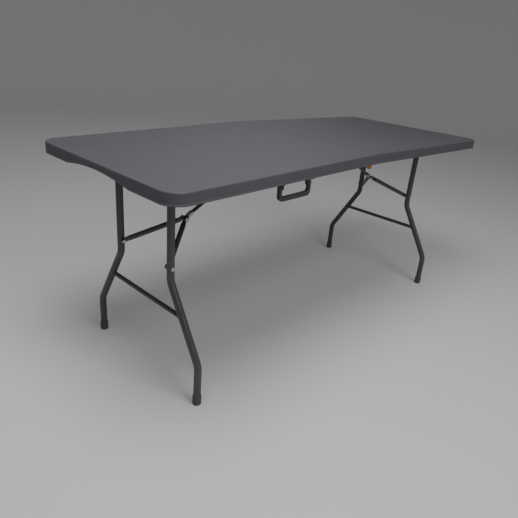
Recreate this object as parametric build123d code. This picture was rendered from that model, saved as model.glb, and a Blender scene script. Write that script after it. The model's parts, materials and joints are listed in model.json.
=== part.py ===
# Folding table: a moulded plastic top in two halves that fold together, on two folding steel leg
# frames, each held open by a V-shaped brace and a strut.
#
# Millimetres and degrees. X runs along the length, Y across, Z up, and the origin is on the floor
# under the middle of the top. The right half is modelled flat, with X counted from the fold line
# and Z = 0 at the top surface. on_half() then slopes it down from the fold and sets it at its
# height. The left half is its mirror image, apart from the fold hinges, the catch and the handle.
from build123d import *
import os
from math import atan2, cos, degrees, hypot, radians, sin, sqrt

os.makedirs("parts", exist_ok=True)

# Overall
length = 1800.0
width = 730.0
crest_height = 764.0  # top surface at the fold, above the floor
fold_crown = 1.0  # slope of each half, down from the fold

# Clearances
running_gap = 0.06  # radial, a pin or tube that turns in a hole
side_gap = 0.4  # between faces that slide past each other

# Moulded top
apron_depth = 38.0
apron_wall = 14.0
deck = 8.0
corner_radius = 60.0
rim_width = 24.0  # band along the outer edges that falls away slightly
rim_fall = 1.8
edge_round = 5.0
lip_round = 3.0
seam_gap = 0.3
fold_wall = 8.0
fold_wall_depth = 24.0
arch_span = 340.0  # shallow arch cut in the apron of each short side
arch_rise = 16.5

# Steel rails under the top
rail_steel = 1.6
rail_depth = 27.0
rail_flange = 22.0
rail_inset = 45.0  # from the long edge to the rail's upright web
rail_start = 16.0  # from the fold
rail_to_pivot = 46.0  # the rail ends this far short of the leg pivot
rail_screw_count = 6
rail_screw_start = 60.0  # first screw, from the rail's end at the fold
rail_screw_end = 20.0  # last screw, from the rail's other end

# Screws
screw_head = 4.2
screw_head_height = 2.0
screw_shank = 2.0
screw_bite = 5.0
screw_round = 1.2
screw_margin = 2.0  # from a screw's head to the end of the clamp's foot

# Fold hinges
fold_axis_drop = 48.0  # hinge axis below the top surface
hinge_steel = 3.0
hinge_eye = 9.0
hinge_reach = 70.0
hinge_slant = 38.3  # the plate's rise from its eye, above the level
hinge_margin = 1.0  # from the rail's lower edge to the plate's
hinge_top_gap = 4.0  # from the deck down to the plate
hinge_toe = 10.0  # the plate's upper corner, from the rail's end
packer_toe = 14.0
head_gap = 0.2
hinge_pin = 4.0
pin_head = 7.0
pin_head_height = 2.5

# Leg frames
leg_tube = 12.5  # outer radius
leg_steel = 1.2
pivot_from_fold = 740.0
pivot_drop = 32.0  # pivot axis below the top surface
pivot_tube = 10.0
pivot_steel = 2.0
pivot_overhang = 8.0  # beyond the clamps
leg_spacing = 288.0  # between leg centres at the top
foot_spacing = 584.0
bend_high = 386.0  # height of the upper bend
bend_low = 143.0
bend_radius = 60.0
crossbar_height = 282.0
crossbar_tube = 8.0
foot_wall = 2.0
foot_height = 34.0
foot_sole = 6.0
foot_sole_round = 4.0
foot_rim_round = 1.0

# Pivot clamps
clamp_from_middle = 250.0
clamp_width = 22.0
clamp_wall = 5.0
clamp_foot = 34.0  # half length of the clamp's foot
clamp_foot_height = 4.0

# Braces
brace_drop = 288.0  # from the leg pivot down to the arms' hinge on the legs
arm_tube = 9.0
arm_steel = 1.2
tab_thickness = 3.0
tab_radius = 9.0
tab_neck = 24.0  # from the hole to the neck's end, inside the tube
tab_stand_off = 4.5  # from the leg's face to the tab
upper_tab_thickness = 4.0
tube_set_back = 14.0  # from a tab's hole to the tube
apex_gap = 4.0  # from the strut's face to each upper tab
strut_tube = 6.5
strut_steel = 1.2
anchor_from_fold = 170.0
anchor_gap = 1.0  # from the deck down to the strut's eye
folded_apex_rise = 13.0  # apex above the leg pivot's level when folded
rivet = 4.0
rivet_head = 7.0
rivet_head_height = 2.6
strut_eye_rim = 0.5  # the eyes' radius beyond the tube's
strut_solid_end = 4.0  # solid metal between an eye and the strut's bore
bracket_half_length = 16.0
bracket_half_width = 28.0
bracket_screw_x = 9.0
bracket_screw_y = 21.0
strut_pin_head = 4.8
strut_pin_head_height = 2.0
washer_radius = 6.5
ring_wall = 2.5
ring_length = 24.0
ring_travel = 60.0
ring_from_apex = 14.0

# Carry handle
handle_from_fold = 441.0
handle_span = 142.0
handle_drop = 90.0  # lowest point below the top surface
handle_swing_gap = 1.0  # from the swinging posts up to the lugs' bases
handle_bar = 14.0
handle_post = 9.0
handle_depth = 16.0
handle_inset = 9.0
handle_corner = 17.0
handle_pin = 3.0
handle_eye = 6.5
handle_round = 2.4
handle_pin_head = 5.5
handle_pin_head_height = 2.0
lug_thickness = 6.0
lug_base = 2.5
lug_base_length = 32.0

# Fold catch
catch_from_fold = 10.0
catch_length = 34.0
catch_width = 15.0
catch_to_pin = 1.5  # from the fold pin's head to the housing
catch_front_wall = 3.0
catch_back_wall = 2.0
catch_lip = 1.0  # from the housing's underside down to the foot of the apron
bolt_width = 7.0
bolt_height = 6.0
bolt_drop = 31.0  # middle of the bolt below the top surface
bolt_travel = 14.0
bolt_tip = 1.0  # end of the drawn-back bolt, from the fold
slide_gap = 0.25
keeper_gap = 0.9  # around the bolt in the keeper, which stands at an angle to it
stem_width = 4.0
stem_length = 10.0
bridge_height = 3.5  # flat bar under the housing, from the stem to the thumb tab
thumb_drop = 59.0  # lowest point of the thumb tab below the top surface
thumb_from_fold = 2.0
thumb_length = 14.0
thumb_width = 13.0
thumb_round = 4.0
keeper_steel = 3.0

half_length = length / 2
half_width = width / 2
axis_height = crest_height - fold_axis_drop
rail_y = half_width - rail_inset
rail_end = pivot_from_fold - rail_to_pivot
rail_bottom = deck + rail_depth
foot_radius = leg_tube + foot_wall
strut_eye = strut_tube + strut_eye_rim
anchor_drop = deck + anchor_gap + strut_eye


def save(name, shape):
    """Writes one piece, or one group of like pieces, to its own file."""
    solids = shape.solids()
    piece = solids[0] if len(solids) == 1 else Compound(solids)
    piece.label = name
    export_step(piece, f"parts/{name}.step")


def block(x, y, z):
    """A box given by its two limits along each axis."""
    size = [abs(b - a) for a, b in (x, y, z)]
    middle = [(a + b) / 2 for a, b in (x, y, z)]
    return Pos(*middle) * Box(*size)


def rod(start, end, radius):
    """A solid round bar between two points."""
    along = Vector(*end) - Vector(*start)
    plane = Plane(origin=start, z_dir=along)
    return Part(Solid.make_cylinder(radius, along.length, plane).wrapped)


def rod_y(x, z, y, radius):
    """A round bar along Y at one place in X and Z, between two limits in Y."""
    return rod((x, y[0], z), (x, y[1], z), radius)


def tube(start, end, radius, wall):
    return rod(start, end, radius) - rod(start, end, radius - wall)


def plate(outline, y):
    """A flat plate standing across Y, from an outline in X and Z."""
    face = Pos(0, y[1], 0) * (Plane.XZ * outline)
    return extrude(face, y[1] - y[0], dir=(0, -1, 0))


def front_back(shape):
    """The piece and its mirror image across the table's long centre plane."""
    return Part() + [shape, mirror(shape, about=Plane.XZ)]


def on_half(shape):
    """Slopes a piece of the flat right half about the fold axis and sets it at its height."""
    lifted = Pos(0, 0, crest_height) * shape
    return lifted.rotate(Axis((0, 0, axis_height), (0, 1, 0)), fold_crown)


def point_on_half(x, z):
    """Where a point of the flat right half ends up, as X and Z."""
    up = z + fold_axis_drop
    slope = radians(fold_crown)
    return x * cos(slope) + up * sin(slope), axis_height + up * cos(slope) - x * sin(slope)


def to_left(shape):
    return mirror(shape, about=Plane.YZ)


def save_pair(name, shape):
    """Saves a right-hand piece and its mirror image on the left."""
    save(f"{name}_right", shape)
    save(f"{name}_left", to_left(shape))


# ---------------------------------------------------------------- screws under the top

clamp_screws = [
    (pivot_from_fold + dx * (clamp_foot - screw_head - screw_margin), side * clamp_from_middle)
    for dx in (-1, 1)
    for side in (-1, 1)
]
first_rail_screw = rail_start + rail_screw_start
rail_screw_pitch = (rail_end - rail_screw_end - first_rail_screw) / (rail_screw_count - 1)
rail_screws = [
    (first_rail_screw + i * rail_screw_pitch, side * (rail_y + rail_steel + rail_flange / 2))
    for i in range(rail_screw_count)
    for side in (-1, 1)
]
bracket_screws = [
    (anchor_from_fold + dx * bracket_screw_x, side * bracket_screw_y)
    for dx in (-1, 1)
    for side in (-1, 1)
]


def screw_hole(x, y, z):
    """The hole for a screw whose head sits under a face at height z."""
    return rod((x, y, z), (x, y, -deck + screw_bite), screw_shank)


def screw(x, y, z):
    head = rod((x, y, z - screw_head_height), (x, y, z), screw_head)
    return fillet(head.edges().group_by(Axis.Z)[0], screw_round) + screw_hole(x, y, z)


screw_places = [(x, y, -deck - clamp_foot_height) for x, y in clamp_screws]
screw_places += [(x, y, -deck - rail_steel) for x, y in rail_screws]
screw_places += [(x, y, -deck - hinge_steel) for x, y in bracket_screws]
all_screws = Part() + [screw(*place) for place in screw_places]
all_screw_holes = Part() + [screw_hole(*place) for place in screw_places]

# ---------------------------------------------------------------- moulded top


def slab(inset, start, bottom, top):
    """The half's plan shape, inset from its outer edges, as a slab between two heights."""
    reach = half_length - inset
    across = width - 2 * inset
    sketch = Pos((start + reach) / 2, 0) * Rectangle(reach - start, across)
    outer = sketch.vertices().group_by(Axis.X)[-1]
    sketch = fillet(outer, corner_radius - inset)
    return Pos(0, 0, bottom) * extrude(sketch, top - bottom)


def moulded_half():
    """One half of the top: a deck inside a deep rounded apron, open underneath."""
    fold_face = seam_gap / 2
    body = slab(0, fold_face, -apron_depth, 0)
    top_face = body.faces().sort_by(Axis.Z)[-1]
    rim = [e for e in top_face.edges() if e.center().X > fold_face + 1]
    body = chamfer(rim, rim_width, rim_fall, reference=top_face)
    shoulder = [
        e
        for e in body.edges().filter_by_position(Axis.Z, -rim_fall - 0.01, -rim_fall + 0.01)
        if e.center().X > fold_face + 1
    ]
    body = fillet(shoulder, edge_round)
    lip = [e for e in body.edges().group_by(Axis.Z)[0] if e.center().X > fold_face + 1]
    body = fillet(lip, lip_round)
    body -= slab(apron_wall, fold_face + fold_wall, -apron_depth, -deck)
    inside = half_width - apron_wall
    relief = block((0, fold_face + fold_wall), (-inside, inside), (-apron_depth, -fold_wall_depth))
    body -= relief
    arch_radius = (arch_span**2 / 4 + arch_rise**2) / (2 * arch_rise)
    arch_middle = -apron_depth + arch_rise - arch_radius
    start = half_length - apron_wall - 1
    body -= rod((start, 0, arch_middle), (half_length + 1, 0, arch_middle), arch_radius)
    return body - all_screw_holes


save_pair("top", on_half(moulded_half()))
save_pair("top_screws", on_half(all_screws))

# ---------------------------------------------------------------- steel rails

rail_web = block((rail_start, rail_end), (rail_y, rail_y + rail_steel), (-rail_bottom, -deck))
rail_top = block(
    (rail_start, rail_end),
    (rail_y, rail_y + rail_steel + rail_flange),
    (-deck - rail_steel, -deck),
)
rail = rail_web + rail_top - all_screw_holes
rail_back = on_half(rail)
rail_front = mirror(rail_back, about=Plane.XZ)
save_pair("rail_back", rail_back)
save_pair("rail_front", rail_front)

# ---------------------------------------------------------------- fold hinges

left_hinge_y = (rail_y + rail_steel, rail_y + rail_steel + hinge_steel)
right_hinge_y = (left_hinge_y[1] + side_gap, left_hinge_y[1] + side_gap + hinge_steel)
hinge_bottom = -rail_bottom + hinge_margin
hinge_top = -deck - hinge_top_gap


def hinge_outline():
    """A plate that runs from the rail's web down to an eye around the fold axis."""
    lean = hinge_eye * sin(radians(hinge_slant))
    rise = hinge_eye * cos(radians(hinge_slant))
    arm = Polygon(
        (-lean, -fold_axis_drop + rise),
        (lean, -fold_axis_drop - rise),
        (hinge_reach, hinge_bottom),
        (hinge_reach, hinge_top),
        (rail_start + hinge_toe, hinge_top),
        align=None,
    )
    return arm + Pos(0, -fold_axis_drop) * Circle(hinge_eye)


def hinge_hole(radius):
    return rod_y(0, -fold_axis_drop, (left_hinge_y[0], right_hinge_y[1]), radius)


left_hinge = plate(hinge_outline(), left_hinge_y) - hinge_hole(hinge_pin + running_gap)
right_hinge = plate(hinge_outline(), right_hinge_y) - hinge_hole(hinge_pin)
packer = block(
    (rail_start + packer_toe, hinge_reach),
    (left_hinge_y[0], right_hinge_y[0]),
    (hinge_bottom, hinge_top),
)
right_hinge += packer

inner_head = (left_hinge_y[0] - head_gap - pin_head_height, left_hinge_y[0] - head_gap)
outer_head = (right_hinge_y[1], right_hinge_y[1] + pin_head_height)
fold_pin = rod_y(0, -fold_axis_drop, (inner_head[1], outer_head[0]), hinge_pin)
fold_pin += rod_y(0, -fold_axis_drop, inner_head, pin_head)
fold_pin += rod_y(0, -fold_axis_drop, outer_head, pin_head)

for end, flip in (("back", False), ("front", True)):
    pieces = {
        f"fold_hinge_{end}_left": to_left(on_half(left_hinge)),
        f"fold_hinge_{end}_right": on_half(right_hinge),
        f"fold_pin_{end}": on_half(fold_pin),
    }
    for name, piece in pieces.items():
        save(name, mirror(piece, about=Plane.XZ) if flip else piece)

# ---------------------------------------------------------------- leg frame

pivot_x, pivot_z = point_on_half(pivot_from_fold, -pivot_drop)
hinge_z = pivot_z - brace_drop
hinge_face = leg_spacing / 2 - leg_tube
clamp_edge = clamp_from_middle + clamp_width / 2


def leg(y_side):
    """One bent leg tube, from the pivot tube down into its foot."""

    def path(top, bottom):
        return FilletPolyline(
            (pivot_x, y_side * leg_spacing / 2, top),
            (pivot_x, y_side * leg_spacing / 2, bend_high),
            (pivot_x, y_side * foot_spacing / 2, bend_low),
            (pivot_x, y_side * foot_spacing / 2, bottom),
            radius=bend_radius,
        )

    def swept(radius, top, bottom):
        start = Plane(origin=(pivot_x, y_side * leg_spacing / 2, top), z_dir=(0, 0, -1))
        return sweep(start * Circle(radius), path(top, bottom))

    outer = swept(leg_tube, pivot_z, foot_sole)
    inner = swept(leg_tube - leg_steel, pivot_z, foot_sole)
    return outer, inner


leg_outer, leg_inner = leg(1)
pivot_reach = clamp_edge + pivot_overhang
pivot_bar = rod_y(pivot_x, pivot_z, (-pivot_reach, pivot_reach), pivot_tube)
pivot_bore = rod_y(pivot_x, pivot_z, (-pivot_reach, pivot_reach), pivot_tube - pivot_steel)

splay = (bend_high - crossbar_height) / (bend_high - bend_low)
crossbar_end = leg_spacing / 2 + splay * (foot_spacing - leg_spacing) / 2
crossbar = tube(
    (pivot_x, -crossbar_end, crossbar_height),
    (pivot_x, crossbar_end, crossbar_height),
    crossbar_tube,
    leg_steel,
)
crossbar = crossbar - leg_outer - mirror(leg_outer, about=Plane.XZ)
crossbar = crossbar.solids().sort_by(SortBy.VOLUME)[-1]

# The rivet that the brace arm turns on goes through the leg, with a head at each end.
arm_gap = hinge_face - tab_stand_off
tab_y = (arm_gap - tab_thickness, arm_gap)
rivet_outer = leg_spacing / 2 + leg_tube
rivet_inner = tab_y[0] - side_gap
leg_rivet = rod_y(pivot_x, hinge_z, (rivet_inner, rivet_outer), rivet)
leg_rivet += rod_y(pivot_x, hinge_z, (rivet_outer, rivet_outer + rivet_head_height), rivet_head)
leg_rivet += rod_y(pivot_x, hinge_z, (rivet_inner - rivet_head_height, rivet_inner), rivet_head)
rivet_hole = rod_y(pivot_x, hinge_z, (rivet_inner, rivet_outer), rivet)

leg_back = leg_outer - leg_inner - pivot_bar - rivet_hole
foot = rod((pivot_x, foot_spacing / 2, 0), (pivot_x, foot_spacing / 2, foot_height), foot_radius)
foot = fillet(foot.edges().group_by(Axis.Z)[0], foot_sole_round)
foot = fillet(foot.edges().group_by(Axis.Z)[-1], foot_rim_round)
foot -= rod(
    (pivot_x, foot_spacing / 2, foot_sole),
    (pivot_x, foot_spacing / 2, foot_height),
    leg_tube,
)

save_pair("leg_back", leg_back)
save_pair("leg_front", mirror(leg_back, about=Plane.XZ))
save_pair("foot_back", foot)
save_pair("foot_front", mirror(foot, about=Plane.XZ))
save_pair("pivot_tube", pivot_bar - pivot_bore)
save_pair("crossbar", Part() + crossbar)
save_pair("leg_rivets", front_back(leg_rivet))

# ---------------------------------------------------------------- pivot clamps

clamp_y = (clamp_from_middle - clamp_width / 2, clamp_edge)
clamp_round = pivot_tube + running_gap + clamp_wall
clamp = block((pivot_from_fold - clamp_foot, pivot_from_fold + clamp_foot), clamp_y,
              (-deck - clamp_foot_height, -deck))
clamp += block((pivot_from_fold - clamp_round, pivot_from_fold + clamp_round), clamp_y,
               (-pivot_drop, -deck))
clamp += rod_y(pivot_from_fold, -pivot_drop, clamp_y, clamp_round)
clamp -= rod_y(pivot_from_fold, -pivot_drop, clamp_y, pivot_tube + running_gap)
clamp -= all_screw_holes
save_pair("pivot_clamp_back", on_half(clamp))
save_pair("pivot_clamp_front", mirror(on_half(clamp), about=Plane.XZ))

# ---------------------------------------------------------------- brace linkage
# The strut and the arms lie in one line when the leg stands and fold back on each other when it
# lies under the top. Both lengths follow from the leg's two positions.

anchor_x, anchor_z = point_on_half(anchor_from_fold, -anchor_drop)
open_reach = hypot(pivot_x - anchor_x, hinge_z - anchor_z)
pivot_to_anchor = pivot_from_fold - anchor_from_fold
anchor_rise = pivot_drop - anchor_drop
twice_gap = 2 * (pivot_to_anchor - brace_drop)
c0 = brace_drop + (
    open_reach**2
    - pivot_to_anchor**2
    + brace_drop**2
    - anchor_rise**2
    + 2 * folded_apex_rise * anchor_rise
) / twice_gap
c1 = 2 * open_reach / twice_gap
root = sqrt((c0 * c1) ** 2 - (c1**2 - 1) * (c0**2 + folded_apex_rise**2))
arm_length = (c0 * c1 - root) / (c1**2 - 1)
strut_length = open_reach - arm_length
line_x = (anchor_x - pivot_x) / open_reach
line_z = (anchor_z - hinge_z) / open_reach
apex_x = pivot_x + arm_length * line_x
apex_z = hinge_z + arm_length * line_z


def along_arm(distance, y):
    return pivot_x + distance * line_x, y, hinge_z + distance * line_z


def arm_tab(distance, reach, y):
    """A flattened tube end: a rounded plate around a hole, with a neck into the tube."""
    x, _, z = along_arm(distance, 0)
    eye = rod_y(x, z, y, tab_radius)
    low, high = sorted((distance, distance + reach))
    neck = block((low, high), y, (-tab_radius, tab_radius))
    slope = degrees(atan2(line_z, line_x))
    neck = Pos(pivot_x, 0, hinge_z) * Rot(0, -slope, 0) * neck
    return eye + neck


apex_face = strut_tube + apex_gap
upper_tab_y = (apex_face, apex_face + upper_tab_thickness)
tube_start = along_arm(tube_set_back, tab_y[1] - arm_tube)
tube_end = along_arm(arm_length - tube_set_back, upper_tab_y[0] + arm_tube)
arm = tube(tube_start, tube_end, arm_tube, arm_steel)
arm += arm_tab(0, tab_neck, tab_y)
arm += arm_tab(arm_length, -tab_neck, upper_tab_y)
arm -= rod_y(pivot_x, hinge_z, tab_y, rivet + running_gap)
arm -= rod_y(apex_x, apex_z, upper_tab_y, rivet)
apex_head_y = (upper_tab_y[1], upper_tab_y[1] + rivet_head_height)
apex_rivet = rod_y(apex_x, apex_z, upper_tab_y, rivet)
apex_rivet += rod_y(apex_x, apex_z, apex_head_y, rivet_head)

save_pair("brace_arm_back", arm)
save_pair("brace_arm_front", mirror(arm, about=Plane.XZ))
save_pair("apex_rivets", front_back(apex_rivet))

strut_ends = ((anchor_x, anchor_z), (apex_x, apex_z))
strut = rod((anchor_x, 0, anchor_z), (apex_x, 0, apex_z), strut_tube)
for x, z in strut_ends:
    strut += rod_y(x, z, (-strut_tube, strut_tube), strut_eye)
strut -= rod(
    along_arm(arm_length + strut_eye + strut_solid_end, 0),
    along_arm(open_reach - strut_eye - strut_solid_end, 0),
    strut_tube - strut_steel,
)
for x, z in strut_ends:
    strut -= rod_y(x, z, (-strut_tube, strut_tube), rivet + running_gap)
washer_y = (strut_tube, apex_face - side_gap)
washer = rod_y(apex_x, apex_z, washer_y, washer_radius)
washer -= rod_y(apex_x, apex_z, washer_y, rivet)
ring_a = along_arm(arm_length + ring_from_apex, 0)
ring_b = along_arm(arm_length + ring_from_apex + ring_length, 0)
ring_bore = strut_tube + running_gap
ring = rod(ring_a, ring_b, ring_bore + ring_wall) - rod(ring_a, ring_b, ring_bore)

save_pair("strut", strut)
save_pair("strut_washers", front_back(washer))
save_pair("lock_ring", ring)

# ---------------------------------------------------------------- strut brackets

ear_y = (strut_tube + side_gap, strut_tube + side_gap + hinge_steel)
ear = block((anchor_from_fold - strut_eye, anchor_from_fold + strut_eye), ear_y,
            (-anchor_drop, -deck))
ear += rod_y(anchor_from_fold, -anchor_drop, ear_y, strut_eye)
ear += block((anchor_from_fold - bracket_half_length, anchor_from_fold + bracket_half_length),
             (ear_y[0], bracket_half_width), (-deck - hinge_steel, -deck))
ear -= rod_y(anchor_from_fold, -anchor_drop, ear_y, rivet)
ear -= all_screw_holes
strut_pin = rod_y(anchor_from_fold, -anchor_drop, (-ear_y[1], ear_y[1]), rivet)
for side in (-1, 1):
    head = (side * ear_y[1], side * (ear_y[1] + strut_pin_head_height))
    strut_pin += rod_y(anchor_from_fold, -anchor_drop, head, strut_pin_head)

save_pair("strut_bracket", on_half(front_back(ear)))
save_pair("strut_pin", on_half(strut_pin))

# ---------------------------------------------------------------- carry handle

handle_y = -half_width + handle_inset
handle_axis_drop = apron_depth + lug_base + handle_depth / 2 + handle_swing_gap
grip_y = (handle_y - handle_depth / 2, handle_y + handle_depth / 2)
post_x = handle_span / 2 - handle_post / 2


def handle_outline():
    """A U-shaped grip that hangs from two eyes."""
    height = handle_drop - handle_axis_drop
    outer = RectangleRounded(handle_span, 2 * height, handle_corner)
    inner_radius = handle_corner - handle_post
    inner = RectangleRounded(
        handle_span - 2 * handle_post, 2 * (height - handle_bar), inner_radius
    )
    grip = outer - inner - Pos(0, height) * Rectangle(2 * handle_span, 2 * height)
    return Pos(handle_from_fold, -handle_axis_drop) * grip


grip = plate(handle_outline(), grip_y)
grip = fillet(grip.edges().filter_by(GeomType.LINE).filter_by(Axis.Y, reverse=True), handle_round)
lugs = Part()
handle_pins = Part()
for side in (-1, 1):
    middle = handle_from_fold + side * post_x
    eye = rod(
        (middle - handle_post / 2, handle_y, -handle_axis_drop),
        (middle + handle_post / 2, handle_y, -handle_axis_drop),
        handle_eye,
    )
    grip += eye
    near = middle - side * (handle_post / 2 + side_gap)
    far = near - side * lug_thickness
    lug = rod((near, handle_y, -handle_axis_drop), (far, handle_y, -handle_axis_drop), handle_eye)
    lug += block((near, far), (handle_y - handle_eye, handle_y + handle_eye),
                 (-handle_axis_drop, -apron_depth))
    lug += block((middle - lug_base_length / 2, middle + lug_base_length / 2),
                 (handle_y - handle_eye, handle_y + handle_eye), (-apron_depth - lug_base, -apron_depth))
    outer_end = middle + side * (handle_post / 2 + side_gap)
    pin_ends = ((outer_end, handle_y, -handle_axis_drop), (far, handle_y, -handle_axis_drop))
    lugs += lug - rod(*pin_ends, handle_pin)
    pin_head_end = (outer_end + side * handle_pin_head_height, handle_y, -handle_axis_drop)
    handle_pins += rod(*pin_ends, handle_pin) + rod(pin_ends[0], pin_head_end, handle_pin_head)
    grip -= rod(*pin_ends, handle_pin + running_gap)

save("handle_grip", to_left(on_half(grip)))
save("handle_lugs", to_left(on_half(lugs)))
save("handle_pins", to_left(on_half(handle_pins)))

# ---------------------------------------------------------------- fold catch
# A sliding bolt in a housing on the left half, which runs into a keeper on the right half.

housing_y = right_hinge_y[1] + pin_head_height + catch_to_pin
catch_x = (catch_from_fold, catch_from_fold + catch_length)
catch_y = (housing_y, housing_y + catch_width)
catch_middle = housing_y + catch_width / 2
catch_bottom = -apron_depth + catch_lip


def catch_block(x, wide, z, gap=0.0):
    """A block centred across the catch, with some play on every side but the ends."""
    across = (catch_middle - wide / 2 - gap, catch_middle + wide / 2 + gap)
    return block(x, across, (z[0] - gap, z[1] + gap))


bolt_z = (-bolt_drop - bolt_height / 2, -bolt_drop + bolt_height / 2)
stem_z = (catch_bottom - keeper_gap, bolt_z[0])
slot_x = (catch_x[0] + catch_front_wall, catch_x[1] - catch_back_wall)
thumb_x = (thumb_from_fold, thumb_from_fold + thumb_length)
stem_x = (slot_x[1] - slide_gap - stem_length, slot_x[1] - slide_gap)
housing = block(catch_x, catch_y, (catch_bottom, -deck - rail_steel))
housing -= catch_block((catch_x[0] - 1, catch_x[1] + 1), bolt_width, bolt_z, slide_gap)
housing -= catch_block(slot_x, stem_width, stem_z, slide_gap)

bolt = catch_block((bolt_tip, slot_x[1]), bolt_width, bolt_z)
bolt += catch_block(stem_x, stem_width, stem_z)
bolt += catch_block((thumb_x[0], stem_x[1]), thumb_width, (stem_z[0] - bridge_height, stem_z[0]))
thumb = catch_block(thumb_x, thumb_width, (-thumb_drop, stem_z[0] - bridge_height))
bolt += fillet(thumb.edges().filter_by(Axis.Y).group_by(Axis.Z)[0], thumb_round)

keeper_x = (seam_gap / 2 + fold_wall, seam_gap / 2 + fold_wall + keeper_steel)
keeper = block(keeper_x, catch_y, (catch_bottom, -deck))
keeper += block((keeper_x[0], rail_start), catch_y, (-deck - keeper_steel, -deck))
keeper -= catch_block((keeper_x[0] - 1, keeper_x[1] + 1), bolt_width, bolt_z, keeper_gap)

save("catch_housing", mirror(to_left(on_half(housing)), about=Plane.XZ))
save("catch_bolt", mirror(to_left(on_half(bolt)), about=Plane.XZ))
save("catch_keeper", mirror(on_half(keeper), about=Plane.XZ))
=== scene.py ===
import json
import math
import random

import bmesh
import bpy
from mathutils import Matrix, Vector


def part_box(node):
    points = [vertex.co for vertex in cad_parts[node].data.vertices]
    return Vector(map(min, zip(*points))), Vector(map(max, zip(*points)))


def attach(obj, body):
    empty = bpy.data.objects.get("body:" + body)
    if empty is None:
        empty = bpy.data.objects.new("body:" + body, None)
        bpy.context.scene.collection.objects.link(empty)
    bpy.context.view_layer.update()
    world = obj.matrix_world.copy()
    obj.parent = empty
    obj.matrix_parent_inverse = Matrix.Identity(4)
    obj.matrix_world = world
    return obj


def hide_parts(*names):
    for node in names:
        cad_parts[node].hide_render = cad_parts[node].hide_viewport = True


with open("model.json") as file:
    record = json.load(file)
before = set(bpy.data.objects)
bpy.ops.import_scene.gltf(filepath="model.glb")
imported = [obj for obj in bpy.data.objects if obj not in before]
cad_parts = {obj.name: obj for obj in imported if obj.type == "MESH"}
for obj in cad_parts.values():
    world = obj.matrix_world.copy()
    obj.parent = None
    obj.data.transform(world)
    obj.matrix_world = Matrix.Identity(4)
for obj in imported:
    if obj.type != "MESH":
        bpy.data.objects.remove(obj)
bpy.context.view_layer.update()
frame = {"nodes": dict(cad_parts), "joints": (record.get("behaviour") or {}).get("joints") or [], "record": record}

# ------------------------------------------------------------------ where the pieces sit
# The top is two halves that slope a little down from the fold. Each half's pieces are shaped
# flat, as the right half, with x counted from the fold and z = 0 at the top surface, and then
# set in place.

joints = {joint["name"]: joint for joint in frame["joints"]}
mounts = {mount["name"]: mount for mount in frame["record"]["mounts"]}
nodes = frame["nodes"]
sides = {"right": 1, "left": -1}
ends = {"back": 1, "front": -1}

fold_axis = Vector(joints["top_fold"]["pos_m"])
slope_normal = Vector(mounts["table_top_right"]["axis"])
slope = math.atan2(slope_normal.x, slope_normal.z)
mirror_x = Matrix.Scale(-1, 4, (1, 0, 0))
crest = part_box("top_right")[1].z
half_place = (
    Matrix.Translation(fold_axis)
    @ Matrix.Rotation(slope, 4, "Y")
    @ Matrix.Translation((0, 0, crest - fold_axis.z))
)


def place_of(side):
    """From the flat right half to the given half in the table's frame."""
    return half_place if side == "right" else mirror_x @ half_place


def flat_box(node, side):
    """A node's lowest and highest corners in its half's flat frame."""
    back = place_of(side).inverted()
    points = [back @ vertex.co for vertex in nodes[node].data.vertices]
    low = Vector([min(p[i] for p in points) for i in range(3)])
    high = Vector([max(p[i] for p in points) for i in range(3)])
    return low, high


def finish_mesh(name, mesh, place, body, replaced, finish):
    """Turns a built mesh into a smooth-shaded piece that rides on a body and stands for nodes."""
    bmesh.ops.transform(mesh, matrix=place, verts=mesh.verts)
    if place.determinant() < 0:
        bmesh.ops.reverse_faces(mesh, faces=mesh.faces)
    data = bpy.data.meshes.new(name)
    mesh.to_mesh(data)
    mesh.free()
    data.shade_smooth()
    data.set_sharp_from_angle(angle=math.radians(40))
    data.materials.append(finish)
    piece = bpy.data.objects.new(name, data)
    bpy.context.scene.collection.objects.link(piece)
    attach(piece, body)
    if replaced:
        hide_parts(*replaced)
    return piece


def strip(mesh, rows, closed_rows=False, closed_ring=True):
    """Joins neighbouring rows of vertices with quads."""
    pairs = list(zip(rows, rows[1:]))
    if closed_rows:
        pairs.append((rows[-1], rows[0]))
    for one, two in pairs:
        count = len(one) if closed_ring else len(one) - 1
        for i in range(count):
            j = (i + 1) % len(one)
            mesh.faces.new((one[i], one[j], two[j], two[i]))


# ------------------------------------------------------------------ moulded polyethylene
# High-density polyethylene, blow-moulded in dark grey. The mould leaves a fine leather-like grain,
# and the waxy plastic gives a broad soft sheen rather than a clear reflection.


def hex_colour(code):
    """An sRGB hex colour as linear red, green, blue and full alpha."""
    parts = [int(code[i:i + 2], 16) / 255 for i in (1, 3, 5)]
    linear = [c / 12.92 if c <= 0.04045 else ((c + 0.055) / 1.055) ** 2.4 for c in parts]
    return (*linear, 1)


def add(tree, kind, settings=(), links=()):
    """Adds a shader node, sets its options and inputs, and joins sockets to its inputs."""
    made = tree.nodes.new("ShaderNode" + kind)
    for name, value in dict(settings).items():
        if isinstance(name, int) or name in made.inputs:
            made.inputs[name].default_value = value
        else:
            setattr(made, name, value)
    for name, source in dict(links).items():
        tree.links.new(source, made.inputs[name])
    return made


def new_material(name, settings):
    """A material with its surface shader set, and its object-space coordinates."""
    material = bpy.data.materials.new(name)
    material.use_nodes = True
    tree = material.node_tree
    tree.nodes.clear()
    shader = add(tree, "BsdfPrincipled", settings)
    add(tree, "OutputMaterial", links={"Surface": shader.outputs["BSDF"]})
    place = add(tree, "TexCoord").outputs["Object"]
    return material, tree, shader, place


def between(tree, factor, dark, light):
    """A colour that runs from one to the other with a factor."""
    ends_of_run = {"data_type": "RGBA", 6: hex_colour(dark), 7: hex_colour(light)}
    return add(tree, "Mix", ends_of_run, {0: factor}).outputs[2]


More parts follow.
